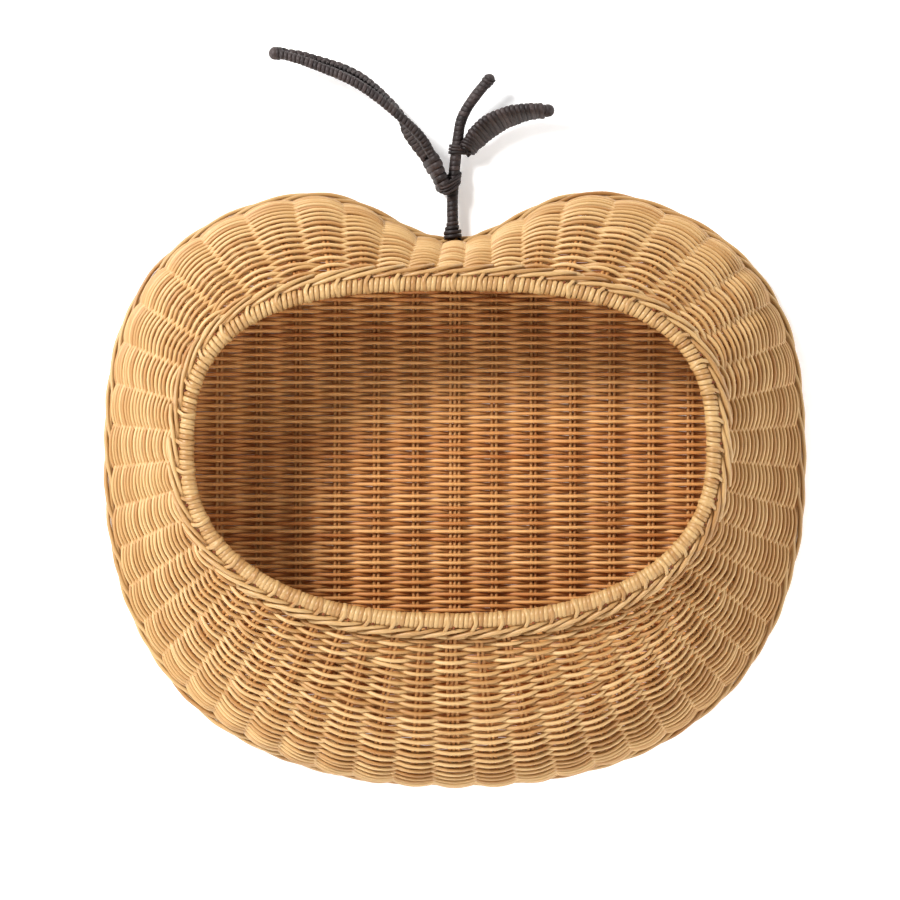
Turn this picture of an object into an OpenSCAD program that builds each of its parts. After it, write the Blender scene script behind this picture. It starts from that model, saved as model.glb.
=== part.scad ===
// Apple-shaped wall basket of woven rattan, with a dark bound stem and two leaves.
// +Z is up, the wall is the plane y = 0 and the basket stands out of it towards -Y.
// The origin lies on the flat back face, level with the middle of the mouth.

/* [Body] */
// Half of the greatest width, over the back border
half_width = 205.4; // [150:0.1:240]
// Height of the lobes above the origin, before the notch is taken off
lobe_height = 160; // [120:1:190]
// Distance from the origin down to the lowest point
body_drop = 195; // [140:1:230]
// Squareness of the upper half of the outline (2 is an ellipse)
upper_power = 2.72; // [2:0.01:3]
// Squareness of the lower half of the outline (2 is an ellipse)
lower_power = 2.45; // [2:0.01:3]
// Depth of the notch at the stem
notch_depth = 34; // [0:1:50]
// Half width over which the notch fades out
notch_width = 51; // [40:1:60]
// Sideways place of the notch
notch_x = -1.5; // [-4:0.1:4]
// Distance from the wall to the middle of the rim
rim_depth = 96; // [70:1:130]

/* [Mouth] */
// Half of the width of the rim, to the middle of its hoop
rim_half_width = 146; // [100:1:150]
// Half of the height of the rim, to the middle of its hoop
rim_half_height = 93.4; // [60:0.1:100]
// Shift of the rim to the right
rim_shift = -2.8; // [-10:0.1:10]
// Squareness of the rim's upper half
rim_upper_power = 2.8; // [2:0.1:3]
// Squareness of the rim's lower half
rim_lower_power = 2.3; // [2:0.1:3]

/* [Canes] */
// Diameter of the woven round canes
weaver_d = 2.2; // [1.8:0.1:3]
// Diameter of the upright canes that the others are woven round
rod_d = 2.1; // [1.8:0.1:3]
// Distance between the middles of two canes of a pair
pair_gap = 2.5; // [2.3:0.1:4]
// Distance between neighbouring groups of upright canes in the back panel
panel_pitch = 22.8; // [18:0.1:30]
// Pairs of upright canes round the wall
wall_pairs = 52; // [40:4:60]
// Diameter of the stiff hoop inside the wrapped rim
rim_hoop_d = 5.4; // [4:0.1:6]
// Diameter of the rim over its wrapping
rim_wrap_d = 8.6; // [7:0.1:10]
// Diameter of the stiff hoop at the back edge
back_hoop_d = 4.8; // [4:0.1:5]

/* [Stem] */
// Sideways place of the stem
stem_x = -1.4; // [-2.5:0.1:-0.5]
// Distance from the wall to the middle of the stem
stem_depth = 8; // [6:0.1:12]
// Diameter of the bound stem
stem_d = 6; // [5:0.1:7]
// Diameter of the rod inside the stem
stem_core_d = 3; // [2:0.1:3.6]
// Diameter of the bound rods at the edges of the leaves
leaf_rod_d = 4.6; // [3:0.1:5]
// Diameter of the lashings that tie the leaves to the stem
lashing_d = 10; // [9.4:0.1:11]

/* [Hanging] */
// Sideways place of the eyelets, in pitches of the back panel
eyelet_pitches = 3.5; // [1.5:1:5.5]
// Height of the eyelets above the origin
eyelet_height = 116; // [60:1:118]
// Diameter of the hole in an eyelet
eyelet_hole_d = 8; // [5:0.1:9]
// Diameter of an eyelet
eyelet_d = 12.4; // [11:0.1:14]

/* [Hidden] */

honey = [0.84, 0.66, 0.40];
pale = [0.90, 0.75, 0.50];
tan = [0.74, 0.55, 0.33];
dark = [0.17, 0.13, 0.12];
gap = 0.06;                       // play between neighbouring layers
step = 0.002;                     // step of the numerical slopes
samples = 360;                    // fineness of the tables of arc length
round_parts = 60;                 // parts round a hoop
border_parts = 104;               // parts round a border strand
border_turns = 13;                // turns of a border strand round its partner
border_d = 2.6;                   // diameter of a border strand
rod_y = weaver_d + gap + rod_d / 2;
panel_front_y = rod_y + rod_d / 2 + gap;
panel_inset = 10.8;               // from the outline to the edge of the back panel
hoop_inset = 8.2;                 // from the outline to the middle of the back hoop
border_inset = 2.9;               // from the outline to the middle of the back border
back_hoop_y = back_hoop_d / 2 + 0.5;
back_border_y = 5;
wall_inset = 7.5;                 // from the outline to the middle of the wall, at the back
wall_back_y = 9.6;                // where the wall starts
wall_front_y = rim_depth - 6.2;   // where the wall ends, behind the rim
wall_front_out = 5.8;             // from the middle of the rim out to the end of the wall
belly_bulge = 14;                 // how far the belly leans out past the back edge
belly_depth = 48;                 // how far forward it leans out
belly_reach = 0.45;               // share of the way from the back edge in, where it turns forward
belly_drop = 4;                   // how far that turn lies behind the rim's end of the wall
lobe_roundness = 0.45;            // the belly's shape is 1 at the bottom, 0 at the sides, this at the lobes
notch_roundness = 0.4;            // and this at the notch
back_spread = 0.0096;             // how far the pairs move down from their even places, at the back
rim_spread = 0.0192;              // and at the rim, both as shares of the way round
notch_crowding = 0.0163;          // how far the pairs at the back move into the notch
notch_reach = 0.05;               // and where they move most
wall_half = 4;                    // half of the thickness of the woven wall
rim_border_out = 7.6;             // from the middle of the rim to its rolled border
rim_border_y = rim_depth + 0.6;   // from the wall to the middle of that border
border_wind = 1.5;                // how far a border strand winds out from the border's middle
band_ends = [0, 0.3, 0.62, 1];    // where the bands of rows end, from back to rim
band_parts = 3;                   // parts from end to end of a band

// ---- curves -------------------------------------------------------------------------

function signed_power(value, power) = sign(value) * pow(abs(value), power);
function unit(v) = v / norm(v);
function wrapped(u) = u - floor(u);

// Outline of the back, in the plane of the wall: angle 0 is the top and 90 is +X
function outline_point(angle) =
    let(upper = cos(angle) > 0)
    let(power = upper ? upper_power : lower_power)
    let(x = half_width * signed_power(sin(angle), 2 / power))
    let(notch = upper ? notch_depth * exp(-pow((x - notch_x) / notch_width, 2)) : 0)
    [x, (upper ? lobe_height : body_drop) * signed_power(cos(angle), 2 / power) - notch];

// Middle line of the rim
function rim_point(angle) =
    let(power = cos(angle) > 0 ? rim_upper_power : rim_lower_power)
    [rim_shift + rim_half_width * signed_power(sin(angle), 2 / power),
     rim_half_height * signed_power(cos(angle), 2 / power)];

// Tables from the share of the way round to the angle
outline_dense = [for (i = [0:samples]) outline_point(360 * i / samples)];
rim_dense = [for (i = [0:samples]) rim_point(360 * i / samples)];
function lengths(points) =
    [for (i = 0, s = 0; i < len(points); i = i + 1,
          s = i < len(points) ? s + norm(points[i] - points[i - 1]) : s) s];
outline_lengths = lengths(outline_dense);
rim_lengths = lengths(rim_dense);
outline_table = [for (i = [0:samples]) [outline_lengths[i] / outline_lengths[samples], 360 * i / samples]];
rim_table = [for (i = [0:samples]) [rim_lengths[i] / rim_lengths[samples], 360 * i / samples]];

function outline_at(u) = outline_point(lookup(wrapped(u), outline_table));
function rim_at(u) = rim_point(lookup(wrapped(u), rim_table));
function left_of(v) = unit([-v[1], v[0]]);
function outline_out(u) = left_of(outline_at(u + step) - outline_at(u - step));
function rim_out(u) = left_of(rim_at(u + step) - rim_at(u - step));
function inset(u, distance) = outline_at(u) - distance * outline_out(u);
function lift(point, depth) = [point[0], -depth, point[1]];

// Where the canes of a pair stand at the back and at the rim, for pairs at even places
function turned(u) = u - floor(u + 0.5);
function spread(u, most) = u + most * sign(turned(u)) * pow(sin(360 * u), 2);
function crowding(x) = notch_crowding * x * exp((1 - x * x) / 2);
function back_share(u) = spread(u, back_spread) - crowding(turned(u) / notch_reach);
function rim_share(u) = spread(u, rim_spread);

// Middle of the woven wall: u runs round it, even from pair to pair, and v from the back (0) to the rim (1)
function bezier(p, t) =
    pow(1 - t, 3) * p[0] + 3 * pow(1 - t, 2) * t * p[1] + 3 * (1 - t) * t * t * p[2] + pow(t, 3) * p[3];
function roundness(u) =
    cos(360 * u) < 0
        ? pow(cos(360 * u), 2)
        : lobe_roundness * pow(sin(720 * u), 2) + notch_roundness * pow(cos(360 * u), 4);
function mix(a, b, share) = a + share * (b - a);
function wall_at(u, v) =
    let(out = outline_out(back_share(u)))
    let(foot = lift(inset(back_share(u), wall_inset), wall_back_y))
    let(rim = rim_share(u))
    let(top = lift(rim_at(rim) + wall_front_out * rim_out(rim), wall_front_y))
    let(leaning = foot + lift(belly_bulge * out, belly_depth))
    let(turning = [mix(foot[0], top[0], belly_reach),
                   belly_drop - wall_front_y,
                   mix(foot[2], top[2], belly_reach)])
    bezier([foot,
            mix(mix(foot, top, 1 / 3), leaning, roundness(u)),
            mix(mix(foot, top, 2 / 3), turning, roundness(u)),
            top], v);
function wall_round(u, v) = wall_at(u + step, v) - wall_at(u - step, v);
function wall_along(u, v) = wall_at(u, min(1, v + 0.01)) - wall_at(u, max(0, v - 0.01));
function wall_out(u, v) = unit(cross(wall_along(u, v), wall_round(u, v)));
function wall_offset(u, v, distance) = wall_at(u, v) + distance * wall_out(u, v);

// Smooth curve through a list of points (Catmull-Rom), cut in parts between each two
function curve_piece(p0, p1, p2, p3, t) =
    0.5 * (2 * p1 + (p2 - p0) * t + (2 * p0 - 5 * p1 + 4 * p2 - p3) * t * t
           + (3 * p1 - p0 - 3 * p2 + p3) * t * t * t);
function smooth(points, parts) =
    let(last = len(points) - 1)
    [for (i = [0:last - 1], j = [0:parts - 1])
         curve_piece(i == 0 ? 2 * points[0] - points[1] : points[i - 1], points[i], points[i + 1],
                     i == last - 1 ? 2 * points[last] - points[last - 1] : points[i + 2], j / parts),
     points[last]];

// The same curve as points at equal shares of its length
function shared(points, parts) =
    let(along = lengths(points))
    let(total = along[len(points) - 1])
    let(table = [for (k = [0:2]) [for (i = [0:len(points) - 1]) [along[i] / total, points[i][k]]]])
    [for (i = [0:parts]) [for (k = [0:2]) lookup(i / parts, table[k])]];

// ---- solids from curves -------------------------------------------------------------

// Solid skin over a list of rings of points, which turn by the right hand about the way ahead
module skin(points, sides, closed = false) {
    rings = len(points) / sides;
    walls = [for (i = [0:rings - (closed ? 1 : 2)], j = [0:sides - 1], half = [0, 1])
                 let(a = i * sides + j)
                 let(b = i * sides + (j + 1) % sides)
                 let(c = ((i + 1) % rings) * sides + (j + 1) % sides)
                 let(d = ((i + 1) % rings) * sides + j)
                 half == 0 ? [a, c, b] : [a, d, c]];
    ends = closed ? [] : [[for (j = [0:sides - 1]) j],
                          [for (j = [sides - 1:-1:0]) (rings - 1) * sides + j]];
    polyhedron(points, concat(walls, ends), convexity = 10);
}

// Tube through a list of [centre, first axis, second axis] frames
module tube(frames, radius, sides, closed = false) {
    skin([for (f = frames, j = [0:sides - 1])
              f[0] + radius * (cos(360 * j / sides) * f[1] + sin(360 * j / sides) * f[2])],
         sides, closed);
}

// The same path, made longer at both ends
function prolonged(points, extra) =
    let(last = len(points) - 1)
    concat([points[0] + extra * unit(points[0] - points[1])],
           points,
           [points[last] + extra * unit(points[last] - points[last - 1])]);

// Frames of a path that stays roughly upright in the plane of the wall
function path_frames(points) =
    [for (i = [0:len(points) - 1])
         let(ahead = points[min(i + 1, len(points) - 1)] - points[max(i - 1, 0)])
         let(across = unit(cross([0, 1, 0], ahead)))
         [points[i], across, unit(cross(ahead, across))]];

// Frames round the back outline, at a distance inside it
function outline_frames(distance, depth, parts) =
    [for (i = [0:parts - 1])
         let(out = outline_out(i / parts))
         [lift(inset(i / parts, distance), depth), [0, 1, 0], lift(out, 0)]];

// Frames round the rim, at a distance outside its middle line
function rim_frames(distance, depth, parts) =
    [for (i = [0:parts - 1])
         let(out = rim_out(i / parts))
         [lift(rim_at(i / parts) + distance * out, depth), [0, 1, 0], lift(out, 0)]];

// Frames that wind round the given frames, as a strand does round its partner
function wound(frames, radius, turns, start) =
    [for (i = [0:len(frames) - 1])
         let(a = start + 360 * turns * i / len(frames))
         let(aside = radius * (cos(a) * frames[i][1] + sin(a) * frames[i][2]))
         [frames[i][0] + aside, frames[i][1], frames[i][2]]];

// Places from the back (0) to the rim (1) at which a stretch of the wall is cut in parts
function stretch(index) =
    let(low = band_ends[index])
    let(high = band_ends[index + 1])
    [for (k = [0:band_parts]) mix(low, high, k / band_parts)];

// Band of woven rows, one stretch of the wall, between two distances from its middle
module band(index, d_low, d_high) {
    v_at = stretch(index);
    skin([for (i = [0:wall_pairs - 1])
              each concat([for (k = [0:band_parts]) wall_offset(i / wall_pairs, v_at[k], d_high)],
                          [for (k = [band_parts:-1:0]) wall_offset(i / wall_pairs, v_at[k], d_low)])],
         2 * band_parts + 2, true);
}

// One upright cane of the wall, at a distance beside a pair's place, towards the next pair
module wall_rod(place, aside) {
    u = place / wall_pairs;
    next = (place + (aside < 0 ? -1 : 1)) / wall_pairs;
    v_at = concat([0], [for (index = [0:2]) for (k = [1:band_parts]) stretch(index)[k]]);
    tube([for (v = v_at)
              let(middle = wall_at(u, v))
              let(beside = abs(aside) * unit(wall_at(next, v) - middle))
              [middle + beside, unit(wall_round(u, v)), wall_out(u, v)]],
         rod_d / 2, 4);
}

// Groups of canes of the wall, from one place round it to another: pairs, and three at the top and bottom
module wall_rods(first, last) {
    for (place = [first:last], side = place % (wall_pairs / 2) == 0 ? [-1, 0, 1] : [-0.5, 0.5])
        wall_rod(place, side * pair_gap);
}

// Flat plate with the outline of the back panel
module panel_plate(depth) {
    parts = 120;
    translate([0, -depth, 0])
        rotate([90, 0, 0])
            linear_extrude(height = weaver_d)
                polygon([for (i = [0:parts - 1]) inset(i / parts, panel_inset)]);
}

// Height of the panel's upper or lower edge at a distance from its middle line
function panel_edge(x, upper) =
    lookup(abs(x), [for (i = [0:samples / 4])
                        inset(upper ? i / samples : 0.5 - i / samples, panel_inset)]);

module upright(x, low, high, depth, diameter) {
    translate([x, -depth, low])
        cylinder(h = high - low, d = diameter, $fn = 24);
}

// ---- back panel ---------------------------------------------------------------------

module back_rods() {
    groups = 8;                   // groups on each side of the middle one
    color(honey)
        for (k = [-groups:groups], side = k == 0 ? [-1, 0, 1] : [-0.5, 0.5]) {
            x = k * panel_pitch + side * pair_gap;
            upright(x, panel_edge(x, false) + 1, panel_edge(x, true) - 1, rod_y, rod_d);
        }
}

module back_weavers_front() {
    color(tan)
        panel_plate(panel_front_y);
}

module back_weavers_rear() {
    color(tan)
        difference() {
            panel_plate(0);
            for (side = [-1, 1])
                translate([side * eyelet_pitches * panel_pitch, 1, eyelet_height])
                    rotate([90, 0, 0])
                        cylinder(h = weaver_d + 2, d = eyelet_d + 2 * gap, $fn = 48);
        }
}

module back_hoop() {
    color(honey)
        tube(outline_frames(hoop_inset, back_hoop_y, round_parts), back_hoop_d / 2, 6, true);
}

module back_border_strand(start) {
    middle = outline_frames(border_inset, back_border_y, border_parts);
    color(pale)
        tube(wound(middle, border_wind, border_turns, start), border_d / 2, 4, true);
}

module back_border_strand_a() {
    back_border_strand(0);
}

module back_border_strand_b() {
    back_border_strand(180);
}

// Ring of bound cane, let into the back of the panel between two pairs of canes
module hanging_eyelet(side) {
    color(pale)
        translate([side * eyelet_pitches * panel_pitch, 0, eyelet_height])
            rotate([90, 0, 0])
                difference() {
                    cylinder(h = weaver_d + rod_d, d = eyelet_d, $fn = 48);
                    translate([0, 0, -1])
                        cylinder(h = weaver_d + rod_d + 2, d = eyelet_hole_d, $fn = 48);
                }
}

module hanging_eyelet_left() {
    hanging_eyelet(-1);
}

module hanging_eyelet_right() {
    hanging_eyelet(1);
}

// ---- wall ---------------------------------------------------------------------------

module wall_rods_upper() {
    color(honey)
        wall_rods(-wall_pairs / 4, wall_pairs / 4 - 1);
}

module wall_rods_lower() {
    color(honey)
        wall_rods(wall_pairs / 4, 3 * wall_pairs / 4 - 1);
}

module outer_rows(index) {
    color(honey)
        band(index, rod_d / 2 + gap, wall_half);
}

module inner_rows(index) {
    color(tan)
        band(index, -wall_half, -rod_d / 2 - gap);
}

module outer_rows_back() {
    outer_rows(0);
}

module outer_rows_middle() {
    outer_rows(1);
}

module outer_rows_front() {
    outer_rows(2);
}

module inner_rows_back() {
    inner_rows(0);
}

module inner_rows_middle() {
    inner_rows(1);
}

module inner_rows_front() {
    inner_rows(2);
}

// ---- rim ----------------------------------------------------------------------------

module rim_hoop() {
    color(honey)
        tube(rim_frames(0, rim_depth, round_parts), rim_hoop_d / 2, 8, true);
}

module rim_wrap() {
    color(pale)
        difference() {
            tube(rim_frames(0, rim_depth, round_parts), rim_wrap_d / 2, 8, true);
            tube(rim_frames(0, rim_depth, round_parts), rim_hoop_d / 2 + gap, 8, true);
        }
}

module rim_border_strand(start) {
    middle = rim_frames(rim_border_out, rim_border_y, border_parts);
    color(pale)
        tube(wound(middle, border_wind, border_turns, start), border_d / 2, 4, true);
}

module rim_border_strand_a() {
    rim_border_strand(0);
}

module rim_border_strand_b() {
    rim_border_strand(180);
}

// ---- stem ---------------------------------------------------------------------------

// The stem runs straight up from inside the back and bends over at its end
stem_foot = [[stem_x, -stem_depth, 104], [stem_x, -stem_depth, 133]];
stem_bend = [[stem_x, -stem_depth, 150], [0.3, -9, 170], [1.8, -10.5, 182],
             [3.2, -11.6, 190.6], [6.8, -12.8, 198.6], [12.8, -14.4, 207], [19.5, -16, 214.8]];
stem_path = smooth(concat([stem_foot[1]], stem_bend), 3);
collar_foot = 124.2;

module stem_core() {
    color(dark)
        tube(path_frames(smooth(concat(stem_foot, stem_bend), 3)), stem_core_d / 2, 8);
}

module stem_wrap() {
    color(dark)
        difference() {
            tube(path_frames(stem_path), stem_d / 2, 10);
            tube(path_frames(prolonged(stem_path, 1)), stem_core_d / 2 + 0.15, 10);
        }
}

module stem_collar() {
    bore = stem_core_d / 2 + gap;
    color(dark)
        translate([stem_x, -stem_depth, collar_foot])
            rotate_extrude($fn = 48)
                polygon([[bore, 0], [5.2, 0], [5.3, 2.4], [3.8, 6], [3.4, 8.7], [bore, 8.7]]);
}

// Blunt bound end, square to the way the stem ends
module stem_cap() {
    last = len(stem_bend) - 1;
    ahead = unit(stem_bend[last] - stem_bend[last - 1]);
    color(dark)
        translate(stem_bend[last] + 0.1 * ahead)
            rotate([0, acos(ahead[2]), atan2(ahead[1], ahead[0])])
                cylinder(h = 3.4, d = stem_d + 1.2, $fn = 48);
}

// Ring of binding that ties a leaf to the stem: the feet of the leaf's two rods lie in grooves in its side
module lashing(x, depth, low, high, first, second) {
    outer = lashing_d / 2;
    bevel = 0.8;
    tall = high - low;
    color(dark)
        difference() {
            translate([x, -depth, low])
                rotate_extrude($fn = 48)
                    polygon([[0, 0], [outer - bevel, 0], [outer, bevel], [outer, tall - bevel],
                             [outer - bevel, tall], [0, tall]]);
            tube(path_frames(stem_path), stem_d / 2 + gap, 10);
            tube(path_frames(smooth(first, 3)), leaf_rod_d / 2 + gap, 8);
            tube(path_frames(smooth(second, 3)), leaf_rod_d / 2 + gap, 8);
        }
}

module left_leaf_lashing() {
    lashing(stem_x + 0.3, stem_depth + 0.2, 149.8, 158.2, left_front, left_rear);
}

module right_leaf_lashing() {
    lashing(0.6, stem_depth + 1.3, 170.4, 178, right_upper, right_lower);
}

// ---- leaves -------------------------------------------------------------------------

// A leaf is two bent rods that meet at both ends, with a binding carried between them
left_front = [[-4.6, -12.9, 150.8], [-8.4, -14, 159.6], [-14, -18, 172.6], [-24, -24, 186],
              [-53, -28, 209.4], [-82, -24, 223], [-100, -19, 229.2]];
left_rear = [[-7, -6.8, 150.8], [-9.6, -6.6, 159], [-16, -7.4, 168.4], [-27.6, -8, 184],
             [-33, -10, 197], [-56, -12, 218], [-86, -14, 228.4], [-98.5, -15, 230.6]];
right_upper = [[5.4, -13.4, 174.4], [9.4, -15, 182.4], [17, -19, 190.4],
               [30, -21, 196.2], [45, -20, 198], [51, -18, 197.8]];
right_lower = [[6.8, -7.4, 172.8], [10.6, -7.2, 176.6], [17.6, -7, 182.4], [28, -7, 189.4],
               [42, -9, 195], [51, -12, 196]];

module leaf_rod(points) {
    color(dark)
        tube(path_frames(smooth(points, 3)), leaf_rod_d / 2, 8);
}

// Rounded end that closes a leaf
module leaf_tip(x, depth, z, d) {
    color(dark)
        translate([x, -depth, z])
            sphere(d = d, $fn = 32);
}

// Sheet between the two rods, held clear of them
module leaf_web(first, second) {
    thick = 1.2;
    margin = leaf_rod_d / 2 + 0.3;
    last = 12;
    a = shared(smooth(first, 6), last);
    b = shared(smooth(second, 6), last);
    color(dark)
        skin([for (i = [0:last])
                  let(across = unit(b[i] - a[i]))
                  let(up = unit(cross(across, a[min(i + 1, last)] - a[max(i - 1, 0)])))
                  let(near = a[i] + margin * across)
                  let(far = b[i] - margin * across)
                  each [near + thick / 2 * up, far + thick / 2 * up,
                        far - thick / 2 * up, near - thick / 2 * up]],
             4);
}

module left_leaf_front_rod() {
    leaf_rod(left_front);
}

module left_leaf_rear_rod() {
    leaf_rod(left_rear);
}

module left_leaf_web() {
    leaf_web(left_front, left_rear);
}

module left_leaf_tip() {
    leaf_tip(-103.3, 17, 230, 7.6);
}

module right_leaf_upper_rod() {
    leaf_rod(right_upper);
}

module right_leaf_lower_rod() {
    leaf_rod(right_lower);
}

module right_leaf_web() {
    leaf_web(right_upper, right_lower);
}

module right_leaf_tip() {
    leaf_tip(53.3, 15, 197.2, 7.4);
}

back_rods();
back_weavers_front();
back_weavers_rear();
back_hoop();
back_border_strand_a();
back_border_strand_b();
hanging_eyelet_left();
hanging_eyelet_right();
wall_rods_upper();
wall_rods_lower();
outer_rows_back();
outer_rows_middle();
outer_rows_front();
inner_rows_back();
inner_rows_middle();
inner_rows_front();
rim_hoop();
rim_wrap();
rim_border_strand_a();
rim_border_strand_b();
stem_core();
stem_wrap();
stem_collar();
stem_cap();
left_leaf_lashing();
right_leaf_lashing();
left_leaf_front_rod();
left_leaf_rear_rod();
left_leaf_web();
left_leaf_tip();
right_leaf_upper_rod();
right_leaf_lower_rod();
right_leaf_web();
right_leaf_tip();
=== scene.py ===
"""Looks of the apple-shaped wall basket: every cane of it, woven, wrapped and bound round the CAD frame."""

import math

import bpy
import numpy as np
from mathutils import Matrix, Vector


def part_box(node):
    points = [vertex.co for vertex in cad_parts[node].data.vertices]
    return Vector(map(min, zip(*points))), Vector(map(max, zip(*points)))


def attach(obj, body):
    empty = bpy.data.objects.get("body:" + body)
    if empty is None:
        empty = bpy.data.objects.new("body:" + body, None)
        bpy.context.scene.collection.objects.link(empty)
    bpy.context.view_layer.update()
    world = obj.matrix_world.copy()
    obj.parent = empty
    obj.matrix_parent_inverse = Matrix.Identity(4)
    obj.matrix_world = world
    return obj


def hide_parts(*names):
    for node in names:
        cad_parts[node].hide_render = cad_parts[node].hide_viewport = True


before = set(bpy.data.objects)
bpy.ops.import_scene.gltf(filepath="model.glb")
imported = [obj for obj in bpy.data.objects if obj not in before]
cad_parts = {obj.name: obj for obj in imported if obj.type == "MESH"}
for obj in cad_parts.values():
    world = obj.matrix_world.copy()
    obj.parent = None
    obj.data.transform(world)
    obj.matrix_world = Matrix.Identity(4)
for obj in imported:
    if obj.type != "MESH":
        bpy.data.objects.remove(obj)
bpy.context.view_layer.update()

MM = 0.001
random = np.random.default_rng(52)

# ---- sizes, in millimetres --------------------------------------------------------------

STEP = 0.002  # step of the numerical slopes, as a share of the way round
SAMPLES = 3600  # fineness of the tables of arc length
PAIRS = 52  # groups of upright canes round the wall
PITCH = 1 / PAIRS  # from one of them to the next, as a share of the way round
PANEL_PITCH = 22.8  # from one group of the back panel to the next
PANEL_GROUPS = 8  # groups on each side of the middle one
WEAVER_D = 2.3  # woven round canes
ROD_D = 2.1  # upright canes
PAIR_GAP = 2.5  # between the middles of two canes of a group
ROW_PITCH = 2.32  # from one row of the wall to the next
PANEL_ROW_PITCH = 2.28  # from one row of the back panel to the next
FULL_ROWS = 38  # rows of the wall that go all the way round
SHORTEST_ROW = 3  # least pitches that a shorter row spans
BACK_BORDER_D, RIM_BORDER_D = 2.5, 2.6  # canes of the rolled borders
WRAP_THICKNESS, WRAP_WIDTH = 1.3, 2.75  # flat split cane round the rim


def millimetres(node):
    """Lowest and highest corner of a CAD node."""
    return [np.array(corner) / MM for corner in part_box(node)]


# The outline of the back lies outside the stiff hoop, and the rim's middle line inside its own
HOOP_D = 4.8
HOOP_INSET = 8.2
hoop_low, hoop_high = millimetres("back_hoop")
rim_low, rim_high = millimetres("rim_hoop")
RIM_HOOP_D = rim_high[1] - rim_low[1]
HALF_WIDTH = hoop_high[0] + HOOP_INSET - HOOP_D / 2
BODY_DROP = HOOP_INSET - HOOP_D / 2 - hoop_low[2]
LOBE_HEIGHT = 160
UPPER_POWER, LOWER_POWER = 2.72, 2.45
NOTCH_DEPTH, NOTCH_WIDTH, NOTCH_X = 34, 51, -1.5
RIM_DEPTH = -(rim_low[1] + rim_high[1]) / 2
RIM_HALF_WIDTH = (rim_high[0] - rim_low[0] - RIM_HOOP_D) / 2
RIM_HALF_HEIGHT = (rim_high[2] - rim_low[2] - RIM_HOOP_D) / 2
RIM_SHIFT = (rim_low[0] + rim_high[0]) / 2
RIM_UPPER_POWER, RIM_LOWER_POWER = 2.8, 2.3
RIM_WRAP_D = 8.6
STEM_X, STEM_DEPTH = -1.4, 8  # sideways place of the stem, and its distance from the wall

# ---- curves ------------------------------------------------------------------------------


def unit(vectors):
    return vectors / np.linalg.norm(vectors, axis=-1, keepdims=True)


def signed_power(value, power):
    return np.sign(value) * np.abs(value) ** power


def mix(a, b, share):
    return a + share * (b - a)


def oval(angle, half_width, heights, powers):
    """Closed curve whose upper and lower halves differ. Angle 0 is the top and a quarter turn is +X."""
    upper = np.cos(angle) > 0
    power = np.where(upper, powers[0], powers[1])
    x = half_width * signed_power(np.sin(angle), 2 / power)
    return x, np.where(upper, heights[0], heights[1]) * signed_power(np.cos(angle), 2 / power)


def outline_point(angle):
    x, z = oval(angle, HALF_WIDTH, (LOBE_HEIGHT, BODY_DROP), (UPPER_POWER, LOWER_POWER))
    notch = np.where(np.cos(angle) > 0, NOTCH_DEPTH * np.exp(-(((x - NOTCH_X) / NOTCH_WIDTH) ** 2)), 0)
    return np.stack([x, z - notch], -1)


def rim_point(angle):
    x, z = oval(angle, RIM_HALF_WIDTH, (RIM_HALF_HEIGHT,) * 2, (RIM_UPPER_POWER, RIM_LOWER_POWER))
    return np.stack([RIM_SHIFT + x, z], -1)


def arc_shares(points):
    """Share of the whole length at which each point lies."""
    lengths = np.linalg.norm(np.diff(points, axis=0), axis=1)
    along = np.concatenate([[0], np.cumsum(lengths)])
    return along / along[-1]


ANGLES = np.linspace(0, 2 * np.pi, SAMPLES + 1)
OUTLINE_SHARES = arc_shares(outline_point(ANGLES))
RIM_SHARES = arc_shares(rim_point(ANGLES))


def outline_at(u):
    return outline_point(np.interp(np.mod(u, 1), OUTLINE_SHARES, ANGLES))


def rim_at(u):
    return rim_point(np.interp(np.mod(u, 1), RIM_SHARES, ANGLES))


def outwards(curve, u):
    """Direction out of a closed curve, in its own plane."""
    along = curve(u + STEP) - curve(u - STEP)
    return unit(np.stack([-along[..., 1], along[..., 0]], -1))


def lift(flat, depth):
    """Point of the wall's plane, brought forward."""
    depth = np.broadcast_to(depth, flat.shape[:-1])
    return np.stack([flat[..., 0], -depth, flat[..., 1]], -1)


# How far the groups of canes move down from even places at the back and at the rim, as shares of the
# way round, and how far and where those at the back move into the notch
BACK_SPREAD, RIM_SPREAD = 0.0096, 0.0192
NOTCH_CROWDING, NOTCH_REACH = 0.0163, 0.05


def turned(u):
    return u - np.floor(u + 0.5)


def spread(u, most):
    return u + most * np.sign(turned(u)) * np.sin(2 * np.pi * u) ** 2


def rim_share(u):
    """Share of the rim's length at which the canes of an even place u stand."""
    return spread(u, RIM_SPREAD)


def back_share(u):
    """Share of the outline's length at which they stand."""
    x = turned(u) / NOTCH_REACH
    return spread(u, BACK_SPREAD) - NOTCH_CROWDING * x * np.exp((1 - x * x) / 2)


WALL_INSET, WALL_BACK = 7.5, 9.6
WALL_FRONT, WALL_FRONT_OUT = RIM_DEPTH - 6.2, 5.8
BELLY_BULGE, BELLY_DEPTH, BELLY_REACH, BELLY_DROP = 14, 48, 0.45, 4
LOBE_ROUNDNESS, NOTCH_ROUNDNESS = 0.45, 0.4


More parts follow.
